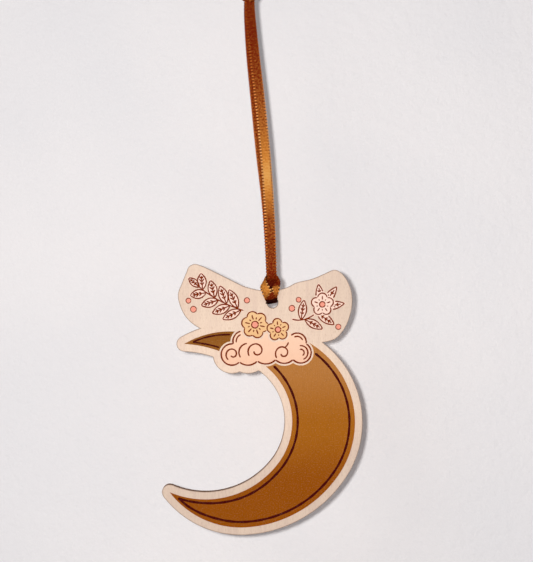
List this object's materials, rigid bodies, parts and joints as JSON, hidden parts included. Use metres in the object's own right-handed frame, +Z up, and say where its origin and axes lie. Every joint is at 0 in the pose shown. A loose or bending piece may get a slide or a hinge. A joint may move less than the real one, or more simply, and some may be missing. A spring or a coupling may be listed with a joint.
{
  "type": "crescent moon decoration",
  "caption": "Flat crescent moon hanger of printed three-ply wood with two upper lobes, hitched on a narrow satin ribbon loop with a knot.",
  "frame": {"origin": "crotch of the ribbon loop, just under its knot, where a hook or twig holds it", "axes": "+Z up along the plumb line, -Y the way the printed face looks, +X to the right as seen from the front"},
  "size_m": [0.0664, 0.005, 0.1906],
  "materials": {
    "core": "laser-cut plywood core, edge scorched light brown",
    "veneer": "pale bare veneer, matt, fine upright grain",
    "moon_ink": "thin printed ink, golden brown, grain of the veneer showing through",
    "peach_ink": "thin printed ink, pale peach with rust-brown lines",
    "gold_ink": "thin printed ink, pale gold with rust-brown lines",
    "blush_ink": "thin printed ink, pale blush with rust-brown lines",
    "ribbon": "woven satin ribbon, antique gold, soft sheen, dotted selvedges"
  },
  "bodies": {
    "root": {"knot": "ribbon"},
    "ribbon": {"strand_front": "ribbon", "strand_rear": "ribbon"},
    "hitch": {"hitch": "ribbon"},
    "board": {"core_ply": "core", "front_veneer": "veneer", "back_veneer": "veneer", "moon_print": "moon_ink", "horn_print": "moon_ink", "cloud_print": "peach_ink", "blossoms_print": "gold_ink", "branch_print": "blush_ink", "spray_print": "blush_ink"}
  },
  "joints": [
    {"name": "ribbon_twist", "type": "hinge", "parent": "root", "child": "ribbon", "pos_m": [0, 0, 0], "axis": [-0.0266, 0, 0.9996], "range_deg": [-180, 180], "stiffness_Nm_per_rad": 0.00005},
    {"name": "board_tip", "type": "hinge", "parent": "ribbon", "child": "hitch", "pos_m": [0.00251, 0, -0.09046], "axis": [0.9986, 0, -0.053], "range_deg": [-25, 25]},
    {"name": "board_rock", "type": "hinge", "parent": "hitch", "child": "board", "pos_m": [0.00232, 0, -0.09786], "axis": [0, 1, 0], "range_deg": [-10, 10]}
  ]
}
